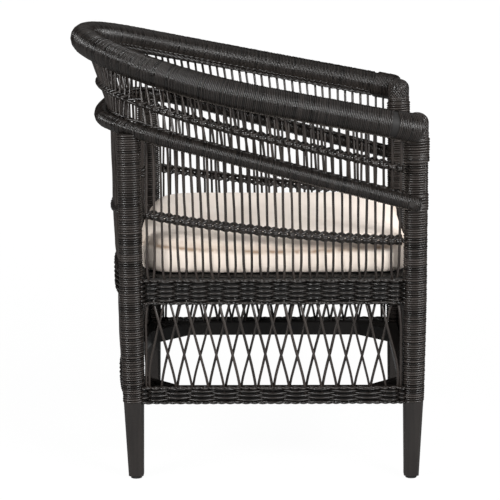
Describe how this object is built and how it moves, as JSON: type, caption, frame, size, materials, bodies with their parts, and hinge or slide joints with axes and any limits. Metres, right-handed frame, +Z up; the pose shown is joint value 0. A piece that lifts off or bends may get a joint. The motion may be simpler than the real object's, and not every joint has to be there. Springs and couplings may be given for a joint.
{
  "type": "rattan armchair",
  "caption": "Tub-shaped rattan armchair with bent top and middle bows, fanned spokes crossing as a lattice below the seat, woven bands, wound square legs and a loose seat cushion.",
  "frame": {"origin": "on the floor, under the middle of the chair's overall width and depth", "axes": "+Z up, -Y the way the sitter faces, +X to the sitter's left"},
  "size_m": [0.648, 0.6304, 0.778],
  "materials": {
    "dark_timber": "stained satin",
    "wound_rattan": "stained, wound strands, semi-gloss",
    "round_rattan": "stained satin",
    "woven_rattan": "stained, woven strands, satin",
    "bolt_steel": "blackened satin",
    "glide_plastic": "matt",
    "cushion_fabric": "fine plain weave, matt",
    "filling": "soft fibre"
  },
  "bodies": {
    "frame": {"back_spokes": "round_rattan", "bow_bolts": "bolt_steel", "foot_glides": "glide_plastic", "front_lattice": "round_rattan", "front_left_brace": "dark_timber", "front_left_cap": "wound_rattan", "front_left_post": "dark_timber", "front_left_wrap": "wound_rattan", "front_right_brace": "dark_timber", "front_right_cap": "wound_rattan", "front_right_post": "dark_timber", "front_right_wrap": "wound_rattan", "left_spokes": "round_rattan", "lower_front_band": "woven_rattan", "lower_front_rail": "dark_timber", "lower_left_band": "woven_rattan", "lower_left_rail": "dark_timber", "lower_rear_band": "woven_rattan", "lower_rear_rail": "dark_timber", "lower_right_band": "woven_rattan", "lower_right_rail": "dark_timber", "lower_twine_back": "woven_rattan", "lower_twine_left": "woven_rattan", "lower_twine_right": "woven_rattan", "mid_bow": "wound_rattan", "mid_twine": "woven_rattan", "rear_left_brace": "dark_timber", "rear_left_post": "dark_timber", "rear_left_wrap": "wound_rattan", "rear_right_brace": "dark_timber", "rear_right_post": "dark_timber", "rear_right_wrap": "wound_rattan", "right_spokes": "round_rattan", "seat_deck": "woven_rattan", "seat_front_band": "woven_rattan", "seat_front_rail": "dark_timber", "seat_left_band": "woven_rattan", "seat_left_rail": "dark_timber", "seat_rear_band": "woven_rattan", "seat_rear_rail": "dark_timber", "seat_ribs": "dark_timber", "seat_right_band": "woven_rattan", "seat_right_rail": "dark_timber", "top_bow": "wound_rattan", "upper_twine": "woven_rattan"},
    "cushion": {"cushion_cover": "cushion_fabric", "cushion_filling": "filling"}
  },
  "joints": [
    {"name": "cushion_lift", "type": "slide", "parent": "frame", "child": "cushion", "axis": [0, 0, 1], "range_m": [0, 0.2]}
  ]
}
